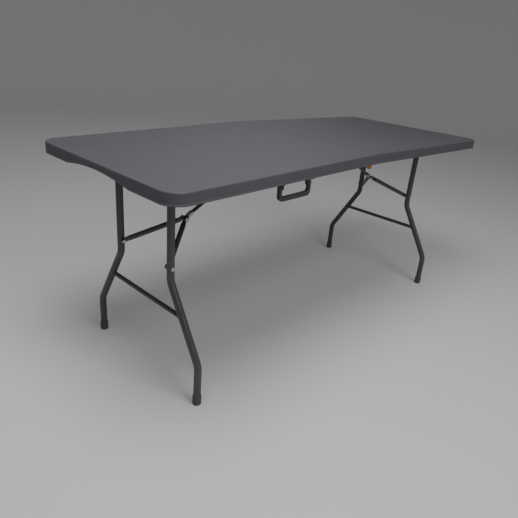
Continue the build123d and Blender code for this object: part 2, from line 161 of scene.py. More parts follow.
def scaled(tree, value, low, high):
    """A noise value, mostly between 0.3 and 0.7, stretched to the given range."""
    reach = {"From Min": 0.3, "From Max": 0.7, "To Min": low, "To Max": high}
    return add(tree, "MapRange", reach, {"Value": value}).outputs["Result"]


def raised(tree, shader, height, strength, distance):
    """Shades the surface as if it stood up by the given height."""
    settings = {"Strength": strength, "Distance": distance}
    bump = add(tree, "Bump", settings, {"Height": height})
    tree.links.new(bump.outputs["Normal"], shader.inputs["Normal"])


def noise(tree, place, scale, detail=3.0, roughness=0.6):
    """Even cloudy noise of the given scale."""
    settings = {"Scale": scale, "Detail": detail, "Roughness": roughness}
    return add(tree, "TexNoise", settings, {"Vector": place}).outputs["Fac"]


def per_metre(millimetres):
    """A texture's scale for a pattern of the given size."""
    return 1000 / millimetres


def moulded_polyethylene():
    """Blow-moulded HDPE: a 2.5 mm leather grain, faint cloudy pigment and scuffs that shine."""
    material, tree, shader, place = new_material(
        "moulded_polyethylene", {"IOR": 1.54, "Specular IOR Level": 0.3}
    )
    cells = {"feature": "SMOOTH_F1", "Scale": per_metre(2.5), "Smoothness": 0.6}
    grain = add(tree, "TexVoronoi", cells, {"Vector": place}).outputs["Distance"]
    fine = noise(tree, place, per_metre(0.9))
    cloud = noise(tree, place, per_metre(220), 4.0)
    tree.links.new(between(tree, cloud, "#4d4e52", "#58595e"), shader.inputs["Base Color"])
    tree.links.new(scaled(tree, cloud, 0.43, 0.55), shader.inputs["Roughness"])
    height = add(tree, "Math", {"operation": "MULTIPLY_ADD", 1: 0.7}, {0: grain, 2: fine})
    raised(tree, shader, height.outputs["Value"], 0.22, 0.0006)
    return material


polyethylene = moulded_polyethylene()

# ------------------------------------------------------------------ moulded top
# Each half is one blow-moulded shell: a thin deck inside a deep rounded apron. The rim falls away
# along the outer edges, a bead runs round the foot of the apron, the short side is arched, and
# the underside has rows of dimples where the two skins of the moulding are pressed together.

rim_width = 0.024
rim_fall = 0.0018
edge_round = 0.005
bead = 0.0015
bead_height = 0.003
lip_round = 0.0025
apron_wall = 0.014
deck = 0.008
corner_radius = 0.060
fold_wall = 0.008
fold_wall_depth = 0.024
arch_half_span = 0.170
arch_rise = 0.0165
dimple_pitch = 0.056
dimple_radius = 0.011
dimple_depth = 0.0032
crown_inset = 0.031  # from the edge to the flat of the top
shoulder_lift = 0.0005
bead_slope = 0.0015
inner_lip_round = 0.003
wall_draft = 0.0006
cove_round = 0.005
deck_inset = 0.027  # from the edge to the flat of the deck's underside
dimple_margin = 0.014  # from there to the first row of dimples


def quarter(centre, radius, start, end, steps):
    """Points of an arc in a profile of inset and height, from one angle to another."""
    angles = [math.radians(start + (end - start) * i / steps) for i in range(steps + 1)]
    return [(centre[0] + radius * math.cos(a), centre[1] + radius * math.sin(a)) for a in angles]


wall_foot = (apron_wall + wall_draft, -fold_wall_depth)


def apron_profile(depth):
    """The apron's section as inset and height, from the flat top round to the deck's underside."""
    foot = -depth
    crown = [(crown_inset, 0), (rim_width + 0.001, -0.00003), (rim_width - 0.003, -0.0002)]
    turn_in = (edge_round, shoulder_lift - rim_fall - edge_round)
    shoulder = quarter(turn_in, edge_round, 84, 180, 8)
    bead_top = foot + bead_height + bead_slope
    face = [(bead, bead_top + bead_slope), (0.0002, bead_top)]
    lip = quarter((lip_round, foot + lip_round), lip_round, 180, 270, 5)
    inner_centre = (apron_wall - inner_lip_round, foot + inner_lip_round)
    inner_lip = quarter(inner_centre, inner_lip_round, 270, 345, 4)
    cove_centre = (apron_wall + cove_round + 0.0015, -deck - cove_round)
    cove = quarter(cove_centre, cove_round, 175, 90, 5)
    shoulder = [(inset + bead * (1 - inset / edge_round), z) for inset, z in shoulder]
    return crown + shoulder + face + lip + inner_lip + [wall_foot] + cove + [(deck_inset, -deck)]


def lift_to_arch(z, y):
    """Raises the apron's foot along the arch of the short side, and leaves its top alone."""
    if abs(y) >= arch_half_span or z > -deck:
        return z
    radius = (arch_half_span**2 + arch_rise**2) / (2 * arch_rise)
    rise = math.sqrt(radius**2 - y**2) - (radius - arch_rise)
    return -deck + (z + deck) * (1 - rise / (apron_depth - deck))


top_low, top_high = flat_box("top_right", "right")
apron_depth = -top_low.z


def outline_stations():
    """Where the apron's section stands along the edge, as corner centres and outward directions."""
    reach, side = top_high.x - corner_radius, top_high.y - corner_radius
    long_steps, short_steps, corner_steps = 14, 64, 16
    first = top_low.x + fold_wall
    xs = [top_low.x] + [first + (reach - first) * i / long_steps for i in range(long_steps)]
    front = [((x, -side), (0, -1)) for x in xs]
    near = [math.radians(-90 + 90 * i / corner_steps) for i in range(corner_steps + 1)]
    corner = [((reach, -side), (math.cos(a), math.sin(a))) for a in near]
    ys = [-side + 2 * side * i / short_steps for i in range(1, short_steps)]
    short = [((reach, y), (1, 0)) for y in ys]
    half = front + corner + short
    far = [math.radians(90 * i / corner_steps) for i in range(corner_steps + 1)]
    half += [((reach, side), (math.cos(a), math.sin(a))) for a in far]
    return half + [((x, side), (0, 1)) for x in reversed(xs)]


def dimpled_deck(mesh, low, high, z):
    """A flat grid of square cells, each with a round dimple pressed up in its middle."""
    cells = [max(1, round((high[i] - low[i]) / dimple_pitch)) for i in range(2)]
    pitch = [(high[i] - low[i]) / cells[i] for i in range(2)]
    shared = {}

    def corner(i, j):
        if (i, j) not in shared:
            spot = (low[0] + pitch[0] * i / 4, low[1] + pitch[1] * j / 4, z)
            shared[i, j] = mesh.verts.new(spot)
        return shared[i, j]

    walk = [(4, j) for j in (2, 3)] + [(i, 4) for i in (4, 3, 2, 1)]
    walk += [(0, j) for j in (4, 3, 2, 1)]
    walk += [(i, 0) for i in (0, 1, 2, 3)] + [(4, j) for j in (0, 1)]
    levels = [(1.0, 0), (0.86, 0.1), (0.66, 0.85), (0.52, 1.0)]
    for column in range(cells[0]):
        for row in range(cells[1]):
            border = [corner(4 * column + i, 4 * row + j) for i, j in walk]
            middle_x = low[0] + pitch[0] * (column + 0.5)
            middle_y = low[1] + pitch[1] * (row + 0.5)
            rings = [border]
            for share, press in levels:
                ring = []
                for k in range(16):
                    turn = math.radians(22.5 * k)
                    x = middle_x + dimple_radius * share * math.cos(turn)
                    y = middle_y + dimple_radius * share * math.sin(turn)
                    ring.append(mesh.verts.new((x, y, z + dimple_depth * press)))
                rings.append(ring)
            strip(mesh, rings)
            mesh.faces.new(rings[-1])
    last_i, last_j = 4 * cells[0], 4 * cells[1]
    edge = [corner(i, 0) for i in range(last_i)] + [corner(last_i, j) for j in range(last_j)]
    edge += [corner(i, last_j) for i in range(last_i, 0, -1)]
    return edge + [corner(0, j) for j in range(last_j, 0, -1)]


def moulded_half():
    """The whole half: the apron's section carried round the edge, and the dimpled deck in it."""
    mesh = bmesh.new()
    profile = apron_profile(apron_depth)
    level = profile.index(wall_foot)
    rows = []
    for (x, y), (out_x, out_y) in outline_stations():
        row = []
        for inset, z in profile:
            reach = corner_radius - inset
            py = y + reach * out_y
            lifted = lift_to_arch(z, py) if out_x == 1 else z
            row.append(mesh.verts.new((x + reach * out_x, py, lifted)))
        rows.append(row)
    strip(mesh, [row[:level + 1] for row in rows], closed_ring=False)
    strip(mesh, [row[level:] for row in rows[1:-1]], closed_ring=False)
    first, second, before, last = rows[0], rows[1], rows[-2], rows[-1]
    mesh.faces.new([row[0] for row in rows])
    mesh.faces.new(first[:level + 1] + last[:level + 1][::-1])
    mesh.faces.new((first[level], second[level], before[level], last[level]))
    mesh.faces.new(second[level:] + before[level:][::-1])
    inset = deck_inset + dimple_margin
    low = (top_low.x + fold_wall + dimple_margin, top_low.y + inset)
    high = (top_high.x - inset, top_high.y - inset)
    inner = dimpled_deck(mesh, low, high, -deck)
    rim = [row[-1] for row in rows[1:-1]]
    border = []
    for loop in (rim, inner):
        for a, b in zip(loop, loop[1:] + loop[:1]):
            border.append(mesh.edges.get((a, b)) or mesh.edges.new((a, b)))
    bmesh.ops.triangle_fill(mesh, edges=border, use_beauty=True, use_dissolve=False)
    bmesh.ops.recalc_face_normals(mesh, faces=mesh.faces)
    return mesh


for side in sides:
    finish_mesh(
        f"moulded_top_{side}",
        moulded_half(),
        place_of(side),
        f"{side}_top",
        [f"top_{side}"],
        polyethylene,
    )

# ------------------------------------------------------------------ powder-coated steel
# Every steel piece but the fasteners is mild steel, powder-coated in charcoal after welding. The
# coat has a slight orange-peel surface and a satin sheen.


def coated_steel():
    """Powder coat: orange peel of about 1.6 mm over satin charcoal, a little uneven in sheen."""
    material, tree, shader, place = new_material("powder_coated_steel", {"IOR": 1.5})
    peel = noise(tree, place, per_metre(1.6), 2.0)
    cloud = noise(tree, place, per_metre(90))
    tree.links.new(between(tree, cloud, "#424244", "#4b4b4d"), shader.inputs["Base Color"])
    tree.links.new(scaled(tree, cloud, 0.36, 0.46), shader.inputs["Roughness"])
    raised(tree, shader, peel, 0.12, 0.0002)
    return material


powder_coat = coated_steel()

# ------------------------------------------------------------------ rails under the top
# Angles folded from 1.6 mm steel run along both long sides of each half, with the flange screwed
# up to the deck. The folded corner is round, and the cut ends are plain.

rail_steel = 0.0016
fold_radius = 0.0026


def angle_section(low, high, edge_side):
    """An angle's outline as y and z: a web at the inner edge and a flange along the deck."""
    inner = fold_radius - rail_steel
    width, top = high.y - low.y, high.z
    centre = (fold_radius, top - fold_radius)
    corner = quarter(centre, fold_radius, 180, 90, 5)
    hollow = quarter(centre, inner, 90, 180, 5)
    outline = [(0, low.z)] + corner + [(width, top), (width, top - rail_steel)] + hollow
    outline.append((rail_steel, low.z))
    near = low.y if edge_side > 0 else high.y
    return [(near + edge_side * y, z) for y, z in outline]


def extruded(mesh, outline, start, end):
    """A closed outline of y and z, carried along x, with both ends closed."""
    rows = [[mesh.verts.new((x, y, z)) for y, z in outline] for x in (start, end)]
    strip(mesh, rows)
    mesh.faces.new(rows[0])
    mesh.faces.new(rows[1])
    bmesh.ops.recalc_face_normals(mesh, faces=mesh.faces)


for side in sides:
    for end, edge_side in ends.items():
        mesh = bmesh.new()
        low, high = flat_box(f"rail_{end}_{side}", side)
        extruded(mesh, angle_section(low, high, edge_side), low.x, high.x)
        name, body = f"rail_{end}_{side}", f"{side}_top"
        place = place_of(side)
        finish_mesh("folded_" + name, mesh, place, body, [name], powder_coat)

# ------------------------------------------------------------------ zinc-plated fasteners
# Screws, rivets, pins, washers and lock rings are turned or headed in steel and zinc-plated, which
# leaves a pale, slightly blue metal with soft streaks.


def zinc_plated():
    """Bright zinc: metal with 4 mm mottling in its sheen and fine handling marks."""
    settings = {"Metallic": 1.0, "Base Color": hex_colour("#b4b7ba")}
    material, tree, shader, place = new_material("zinc_plated_steel", settings)
    mottle = noise(tree, place, per_metre(4), 4.0)
    tree.links.new(scaled(tree, mottle, 0.24, 0.4), shader.inputs["Roughness"])
    raised(tree, shader, noise(tree, place, per_metre(0.7)), 0.08, 0.0001)
    return material


zinc_plate = zinc_plated()


def turned(mesh, profile, start, along, steps=32):
    """Spins a profile of distances along an axis and radii about it, and closes both ends."""
    along = Vector(along).normalized()
    across = along.orthogonal().normalized()
    other = along.cross(across)
    rows = []
    for distance, radius in profile:
        row = []
        for i in range(steps):
            turn = math.tau * i / steps
            out = math.cos(turn) * across + math.sin(turn) * other
            row.append(mesh.verts.new(Vector(start) + distance * along + radius * out))
        rows.append(row)
    strip(mesh, rows)
    mesh.faces.new(rows[0])
    mesh.faces.new(rows[-1])
    bmesh.ops.recalc_face_normals(mesh, faces=mesh.faces)
    return rows


def solid_boxes(node, place):
    """The lowest and highest corner of each separate solid of a node, in the given frame."""
    mesh = bmesh.new()
    mesh.from_mesh(nodes[node].data)
    bmesh.ops.remove_doubles(mesh, verts=mesh.verts, dist=1e-6)
    mesh.transform(place.inverted())
    left, boxes = set(mesh.verts), []
    while left:
        group, reached = [], [left.pop()]
        while reached:
            vertex = reached.pop()
            group.append(vertex.co.copy())
            fresh = {edge.other_vert(vertex) for edge in vertex.link_edges} & left
            left -= fresh
            reached += fresh
        low = Vector([min(p[i] for p in group) for i in range(3)])
        high = Vector([max(p[i] for p in group) for i in range(3)])
        boxes.append((low, high))
    mesh.free()
    return sorted(boxes, key=lambda box: tuple(round(value, 4) for value in box[0]))


# Pan-head screws, driven up into the deck, with a cross recess.
head_height = 0.002
crown_rise = 0.0001
recess_depth = 0.0011
recess_reach, recess_half_width = 0.46, 0.13  # shares of the head's radius


def pan_head(mesh, low, high):
    """A low domed head that hangs under its seat, with a cross pressed into its crown."""
    radius = (high.x - low.x) / 2
    middle = Vector(((low.x + high.x) / 2, (low.y + high.y) / 2, low.z))
    levels = [(crown_rise, 0.62), (0.0003, 0.78), (0.0007, 0.9), (0.0012, 0.98), (head_height, 1.0)]
    rows = []
    for rise, share in levels:
        ring = []
        for i in range(24):
            turn = math.tau * i / 24
            out = Vector((math.cos(turn), math.sin(turn), 0)) * radius * share
            ring.append(mesh.verts.new(middle + out + Vector((0, 0, rise))))
        rows.append(ring)
    strip(mesh, rows)
    mesh.faces.new(rows[-1])
    arm, half = recess_reach * radius, recess_half_width * radius
    quadrant = [(half, half), (half, arm), (-half, arm)]
    loops = []
    for rise in (crown_rise, recess_depth):
        loop = []
        for i in range(4):
            spin = Matrix.Rotation(math.radians(90 * i), 4, "Z")
            loop += [middle + spin @ Vector((x, y, rise)) for x, y in quadrant]
        loops.append([mesh.verts.new(spot) for spot in loop])
    strip(mesh, loops)
    mesh.faces.new(loops[1])
    border = []
    for loop in (rows[0], loops[0]):
        border += [mesh.edges.get(pair) for pair in zip(loop, loop[1:] + loop[:1])]
    bmesh.ops.triangle_fill(mesh, edges=border, use_beauty=True)


for side in sides:
    mesh = bmesh.new()
    for low, high in solid_boxes(f"top_screws_{side}", place_of(side)):
        pan_head(mesh, low, high)
    bmesh.ops.recalc_face_normals(mesh, faces=mesh.faces)
    name = f"top_screws_{side}"
    body = f"{side}_top"
    finish_mesh("pan_head_" + name, mesh, place_of(side), body, [name], zinc_plate)

# ------------------------------------------------------------------ plain formed pieces
# The hinge plates and strut brackets are blanked from 3 mm steel, and the pivot clamps, the lugs and
# the catch are moulded. Their drawn shapes are right as they are, but for small rounded edges.


sheet_edge, moulded_edge, clamp_edge = 0.0004, 0.0008, 0.0012


def softened(node, radius, finish):
    """Rounds the sharp edges of a drawn piece and gives it its finish."""
    piece = nodes[node]
    bevel = piece.modifiers.new("rounded_edges", "BEVEL")
    bevel.width = radius
    bevel.segments = 3
    bevel.limit_method = "ANGLE"
    bevel.angle_limit = math.radians(35)
    bevel.harden_normals = False
    piece.data.materials.clear()
    piece.data.materials.append(finish)


for side in sides:
    softened(f"strut_bracket_{side}", sheet_edge, powder_coat)
    for end in ends:
        softened(f"fold_hinge_{end}_{side}", sheet_edge, powder_coat)

# ------------------------------------------------------------------ pins and rivets
# The fold pins, strut pins and handle pins are headed over at both ends, and so are the rivets that
# the brace arms turn on. A formed head is a low dome on a short cylinder.


shank = 0.004
fold_pin_head, strut_pin_head, rivet_head = 0.0025, 0.002, 0.0026
upright = {"right": Matrix.Identity(4), "left": mirror_x}


def dome(head, height, reverse=False):
    """A formed head's profile of distances and radii, from its seat to its crown."""
    steps = [(0, 1.0), (0.28, 1.0), (0.5, 0.95), (0.72, 0.82), (0.88, 0.62), (0.97, 0.36), (1, 0.1)]
    profile = [(height * rise, head * share) for rise, share in steps]
    return [(-distance, radius) for distance, radius in reversed(profile)] if reverse else profile


def headed_pin(mesh, low, high, heads, height):
    """A pin that fills a box across the table, domed at the low end, the high end or both."""
    start = (low + high) / 2
    start.y = low.y
    length = high.y - low.y
    head = min(high.x - low.x, high.z - low.z) / 2
    profile = [(0, shank)]
    if "low" in heads:
        profile = [(height + d, r) for d, r in dome(head, height, reverse=True)] + [(height, shank)]
    if "high" in heads:
        profile.append((length - height, shank))
        profile += [(length - height + d, r) for d, r in dome(head, height)]
    else:
        profile.append((length, shank))
    turned(mesh, profile, start, (0, 1, 0))


for end in ends:
    mesh = bmesh.new()
    low, high = flat_box(f"fold_pin_{end}", "right")
    headed_pin(mesh, low, high, ("low", "high"), fold_pin_head)
    name = f"fold_pin_{end}"
    finish_mesh("headed_" + name, mesh, half_place, "right_top", [name], zinc_plate)

for side in sides:
    mesh = bmesh.new()
    low, high = flat_box(f"strut_pin_{side}", side)
    headed_pin(mesh, low, high, ("low", "high"), strut_pin_head)
    name, body = f"strut_pin_{side}", f"{side}_top"
    finish_mesh("headed_" + name, mesh, place_of(side), body, [name], zinc_plate)

    level = upright[side]
    for name, body, inner_head in (
        (f"leg_rivets_{side}", f"{side}_legs", True),
        (f"apex_rivets_{side}", f"{side}_brace_arms", False),
    ):
        mesh = bmesh.new()
        for low, high in solid_boxes(name, level):
            outer = "high" if high.y > 0 else "low"
            heads = ("low", "high") if inner_head else (outer,)
            headed_pin(mesh, low, high, heads, rivet_head)
        finish_mesh("domed_" + name, mesh, level, body, [name], zinc_plate)

# ------------------------------------------------------------------ leg frames
# Each frame is two legs bent from 25 mm tube, joined by a 20 mm pivot tube through their tops and a
# 16 mm crossbar below the bends. The joints are welded, and the weld beads show through the coat.

bend_high = 0.386
bend_low = 0.143
bend_radius = 0.060
tube_sides = 32
bead_size, bead_ripple, bead_unevenness = 0.0015, 0.0003, 0.0002
pivot_wall = 0.002
edge_chamfer = 0.0004
bore_shown = 0.010  # how deep the open ends of the pivot tube are drawn


def rounded_path(corners, radius, step=math.radians(4)):
    """Straight runs between corners, joined by arcs of one radius."""
    points = [corners[0]]
    for before, corner, after in zip(corners, corners[1:], corners[2:]):
        into, out = (corner - before).normalized(), (after - corner).normalized()
        turn = into.angle(out)
        reach = radius * math.tan(turn / 2)
        towards = (out - into).normalized()
        centre = corner + towards * radius / math.cos(turn / 2)
        count = max(2, math.ceil(turn / step))
        first = corner - into * reach - centre
        axis = into.cross(out)
        for i in range(count + 1):
            points.append(centre + Matrix.Rotation(turn * i / count, 3, axis) @ first)
    return points + [corners[-1]]


def swept(mesh, path, radii, flat, closed=False, squareness=None):
    """Carries an oval section along a path that lies in a plane, or nearly so, with normal flat."""
    rows = []
    count = len(path)
    for k, point in enumerate(path):
        before = path[k - 1] if k or closed else point
        after = path[(k + 1) % count] if k + 1 < count or closed else point
        tangent = (after - before).normalized()
        across = flat
        if closed:
            across = (flat - flat.dot(tangent) * tangent).normalized()
        other = tangent.cross(across).normalized()
        wide, thick = radii[k]
        power = squareness[k] if squareness else 1
        row = []
        for i in range(tube_sides):
            turn = math.tau * i / tube_sides
            c, s = math.cos(turn), math.sin(turn)
            c = math.copysign(abs(c) ** power, c)
            s = math.copysign(abs(s) ** power, s)
            row.append(mesh.verts.new(point + wide * c * across + thick * s * other))
        rows.append(row)
    strip(mesh, rows, closed_rows=closed)
    if not closed:
        mesh.faces.new(rows[0])
        mesh.faces.new(rows[-1])
    bmesh.ops.recalc_face_normals(mesh, faces=mesh.faces)


def weld_bead(mesh, start, along, bar_radius, tube_point, tube_along, tube_radius):
    """A rippled bead where a bar that starts inside a tube comes out through its wall."""
    along, tube_along = along.normalized(), tube_along.normalized()
    across = along.orthogonal().normalized()
    other = along.cross(across)
    spots = []
    for i in range(48):
        turn = math.tau * i / 48
        spot = start + bar_radius * (math.cos(turn) * across + math.sin(turn) * other)
        gap = spot - tube_point
        gap -= gap.dot(tube_along) * tube_along
        slide = along - along.dot(tube_along) * tube_along
        b, c = gap.dot(slide), gap.length_squared - tube_radius**2
        a = slide.length_squared
        spots.append(spot + along * (-b + math.sqrt(max(b * b - a * c, 0))) / a)
    sizes = []
    for i in range(48):
        ripple = bead_ripple * math.sin(2.1 * i)
        sizes.append(bead_size + ripple + bead_unevenness * draw.random())
    swept(mesh, spots, [(size, size) for size in sizes], along, closed=True)


draw = random.Random(7)

for side in sides:
    level = upright[side]
    pivot = level @ Vector(joints[f"{side}_leg_fold"]["pos_m"])
    body = f"{side}_legs"
    tube_low, tube_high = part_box(f"pivot_tube_{side}")
    bar_low, bar_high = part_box(f"crossbar_{side}")
    bar_radius = (bar_high.z - bar_low.z) / 2
    bar_level = (bar_high.z + bar_low.z) / 2
    pivot_radius = (tube_high.z - tube_low.z) / 2
    bar_mesh, tube_mesh = bmesh.new(), bmesh.new()
    for end, edge_side in ends.items():
        low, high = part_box(f"leg_{end}_{side}")
        radius = (high.x - low.x) / 2
        outer = max(abs(low.y), abs(high.y)) - radius
        inner = min(abs(low.y), abs(high.y)) + radius
        corners = [
            Vector((pivot.x, edge_side * inner, high.z - 0.0002)),
            Vector((pivot.x, edge_side * inner, bend_high)),
            Vector((pivot.x, edge_side * outer, bend_low)),
            Vector((pivot.x, edge_side * outer, low.z)),
        ]
        path = rounded_path(corners, bend_radius)
        mesh = bmesh.new()
        swept(mesh, path, [(radius, radius)] * len(path), Vector((1, 0, 0)))
        name = f"leg_{end}_{side}"
        finish_mesh("bent_" + name, mesh, level, body, [name], powder_coat)
        slant = corners[2] - corners[1]
        share = (bend_high - bar_level) / (bend_high - bend_low)
        joint = corners[1] + slant * share
        inward = Vector((0, -edge_side, 0))
        weld_bead(bar_mesh, joint, inward, bar_radius, joint, slant, radius)
        top_joint = Vector((pivot.x, edge_side * inner, pivot.z))
        for way in (-1, 1):
            out = Vector((0, way, 0))
            weld_bead(tube_mesh, top_joint, out, pivot_radius, top_joint, Vector((0, 0, 1)), radius)
    reach = (bar_high.y - bar_low.y) / 2
    bar_ends = (Vector((pivot.x, -reach, bar_level)), Vector((pivot.x, reach, bar_level)))
    swept(bar_mesh, bar_ends, [(bar_radius, bar_radius)] * 2, Vector((1, 0, 0)))
    name = f"crossbar_{side}"
    finish_mesh("welded_" + name, bar_mesh, level, body, [name], powder_coat)
    bore, length = pivot_radius - pivot_wall, 2 * tube_high.y
    rim = pivot_radius - edge_chamfer
    near_end = [(bore_shown, bore), (0, bore), (0, rim), (edge_chamfer, pivot_radius)]
    far_end = [(length - distance, radius) for distance, radius in reversed(near_end)]
    turned(tube_mesh, near_end + far_end, (pivot.x, -tube_high.y, pivot.z), (0, 1, 0))
    name = f"pivot_tube_{side}"
    finish_mesh("welded_" + name, tube_mesh, level, body, [name], powder_coat)

# ------------------------------------------------------------------ foot caps
# A soft charcoal plastic cap is pushed over the foot of each leg. It has three grip grooves
# round it and a thick rounded sole.


def moulded_grey(name, shade, light, roughness):
    """Moulded plastic between two greys: a 0.6 mm grain, and sheen that varies over 30 mm."""
    material, tree, shader, place = new_material(name, {"IOR": 1.5, "Specular IOR Level": 0.4})
    cloud = noise(tree, place, per_metre(30))
    tree.links.new(between(tree, cloud, shade, light), shader.inputs["Base Color"])
    tree.links.new(scaled(tree, cloud, roughness, roughness + 0.12), shader.inputs["Roughness"])
    raised(tree, shader, noise(tree, place, per_metre(0.6), 2.0), 0.12, 0.0002)
    return material


def groove(middle, outer, mouth, floor, depth):
    """A grip groove in a turned profile, with sloping sides: half widths at mouth and floor."""
    near = [(middle - mouth, outer), (middle - floor, outer - depth)]
    return near + [(middle + floor, outer - depth), (middle + mouth, outer)]


foot_plastic = moulded_grey("soft_charcoal_plastic", "#47474a", "#505053", 0.55)
sole_round, sole_flat_inset = 0.004, 0.006
foot_grooves = (0.011, 0.017, 0.023)
cap_wall = 0.0024

for side in sides:
    level = upright[side]
    for end in ends:
        name = f"foot_{end}_{side}"
        low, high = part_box(name)
        middle = (low + high) / 2
        middle.x = abs(middle.x)
        middle.z = low.z
        full, tall = (high.x - low.x) / 2, high.z - low.z
        sole = quarter((sole_round, full - sole_round), sole_round, 180, 90, 6)
        profile = [(0, full - sole_flat_inset)] + sole
        for middle_of_groove in foot_grooves:
            profile += groove(middle_of_groove, full, 0.0012, 0.0005, 0.0006)
        profile += [(tall - 0.001, full), (tall - 0.0003, full - 0.0003), (tall, full - 0.001)]
        profile += [(tall, full - cap_wall)]
        mesh = bmesh.new()
        turned(mesh, profile, middle, (0, 0, 1))
        body = f"{side}_legs"
        finish_mesh("ribbed_" + name, mesh, level, body, [name], foot_plastic)

# ------------------------------------------------------------------ pivot clamps
# Two moulded saddles per leg frame, screwed up to the deck, in which the pivot tube turns.

black_plastic = moulded_grey("glass_filled_nylon", "#343436", "#3d3d3f", 0.42)

for side in sides:
    for end in ends:
        softened(f"pivot_clamp_{end}_{side}", clamp_edge, black_plastic)

# ------------------------------------------------------------------ V braces
# The brace arms are 18 mm tube, flattened and drilled at both ends. They run from rivets on the
# legs to one apex, where they meet the 13 mm strut that comes down from the middle of the top.


def stations(length, reach, values):
    """Places along a bar with tapered ends: distance, and how far towards the plain tube."""
    middle = [(reach, 1.0), (length / 2, 1.0), (length - reach, 1.0)]
    far = [(length - distance, share) for distance, share in reversed(values)]
    return values + middle + far


def smooth(share):
    return share * share * (3 - 2 * share)


def flattened_bar(mesh, start, end, offsets, tube_radius, eye, half_tab, reach):
    """A tube between two holes whose ends are pressed flat and rounded off round the holes."""
    along = (end - start).normalized()
    length = (end - start).length
    across = along.cross(Vector((0, 1, 0))).normalized()
    nose = [(-eye * math.cos(math.radians(a)), 0.0) for a in (8, 25, 40, 55, 70, 90)]
    neck = [(reach * (0.3 + 0.7 * i / 6), i / 6) for i in range(7)]
    lead_in = reach * 0.4  # the tabs lie straight this far before the bar slants inwards
    path, radii, squareness = [], [], []
    for distance, share in stations(length, reach + 0.004, nose + neck):
        from_end = min(distance, length - distance)
        ease = smooth(share)
        width = tube_radius * ease + eye * (1 - ease)
        if from_end < 0:
            width = math.sqrt(max(eye**2 - from_end**2, 0)) + 0.0002
        half = distance < length / 2
        tab = half_tab[0] if half else half_tab[1]
        thick = tube_radius * ease + tab * (1 - ease)
        run = min(max((distance - lead_in) / (length - 2 * lead_in), 0), 1)
        y = offsets[0] + (offsets[1] - offsets[0]) * run
        spot = start + along * distance
        path.append(Vector((spot.x, y, spot.z)))
        radii.append((width, thick))
        squareness.append(0.45 + 0.55 * ease)
    swept(mesh, path, radii, across, squareness=squareness)


arm_radius, tab_radius, arm_taper = 0.009, 0.009, 0.026
lower_tab_half, upper_tab_half = 0.0015, 0.002
lower_tab_middle = 0.1255  # from the table's middle line
strut_radius, strut_eye, strut_half, strut_taper = 0.0065, 0.007, 0.0064, 0.014
ring_bore, ring_bore_shown, ring_chamfer = 0.0066, 0.003, 0.001

for side in sides:
    level = upright[side]
    hinge = level @ Vector(joints[f"{side}_arm_fold"]["pos_m"])
    anchor = level @ Vector(joints[f"{side}_strut_fold"]["pos_m"])
    low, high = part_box(f"apex_rivets_{side}")
    apex = Vector(((abs(low.x) + abs(high.x)) / 2, 0, (low.z + high.z) / 2))
    for end, edge_side in ends.items():
        name = f"brace_arm_{end}_{side}"
        low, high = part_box(name)
        inner = min(abs(low.y), abs(high.y))
        offsets = (edge_side * lower_tab_middle, edge_side * (inner + upper_tab_half))
        halves = (lower_tab_half, upper_tab_half)
        mesh = bmesh.new()
        flattened_bar(mesh, hinge, apex, offsets, arm_radius, tab_radius, halves, arm_taper)
        body = f"{side}_brace_arms"
        finish_mesh("flattened_" + name, mesh, level, body, [name], powder_coat)
    mesh = bmesh.new()
    halves = (strut_half, strut_half)
    flattened_bar(mesh, anchor, apex, (0, 0), strut_radius, strut_eye, halves, strut_taper)
    name = f"strut_{side}"
    finish_mesh("eyed_" + name, mesh, level, f"{side}_strut", [name], powder_coat)

    name = f"strut_washers_{side}"
    mesh = bmesh.new()
    for low, high in solid_boxes(name, level):
        radius, wide = (high.z - low.z) / 2, high.y - low.y
        middle = (low + high) / 2
        middle.y = low.y
        rim = radius - edge_chamfer
        profile = [(0, rim), (edge_chamfer, radius), (wide - edge_chamfer, radius), (wide, rim)]
        turned(mesh, profile, middle, (0, 1, 0))
    finish_mesh("turned_" + name, mesh, level, f"{side}_strut", [name], zinc_plate)

    # The lock ring is turned from bar, with a chamfer at each end and two grip grooves.
    name = f"lock_ring_{side}"
    slide = (level.to_3x3() @ Vector(joints[f"{side}_ring_slide"]["axis"])).normalized()
    low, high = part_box(name)
    middle = level @ ((low + high) / 2)
    full = (high.y - low.y) / 2
    spread = (high.z - low.z) - 2 * full * math.sqrt(1 - slide.z**2)
    length = spread / abs(slide.z)
    near_end = [(ring_bore_shown, ring_bore), (0, ring_bore)]
    near_end += [(0, full - ring_chamfer), (ring_chamfer, full)]
    profile = list(near_end)
    for share in (0.32, 0.68):
        profile += groove(length * share, full, 0.0014, 0.0008, 0.0007)
    profile += [(length - distance, radius) for distance, radius in reversed(near_end)]
    mesh = bmesh.new()
    turned(mesh, profile, middle - slide * length / 2, slide, 40)
    finish_mesh(
        "turned_" + name, mesh, level, f"{side}_lock_ring", [name], zinc_plate
    )

# ------------------------------------------------------------------ carry handle
# A moulded U-shaped grip swings on two pins in lugs screwed to the foot of the apron. The bar has
# finger ridges underneath, and the posts are a little slimmer than the bar.

for name in ("handle_lugs", "handle_pins"):
    softened(name, moulded_edge, black_plastic)

grip_low, grip_high = flat_box("handle_grip", "left")
grip_axis = place_of("left").inverted() @ Vector(joints["handle_swing"]["pos_m"])
bar_height = 0.014
post_width = 0.009
handle_corner = 0.017
grip_step = 0.0022  # the spacing of the grip's cross-sections
ridge_reach, ridge_fade = 0.041, 0.006
ridge_height, ridge_pitch = 0.0011, 0.0205
grip_round = 0.0032
eye_radius, eye_chamfer = 0.0065, 0.0006


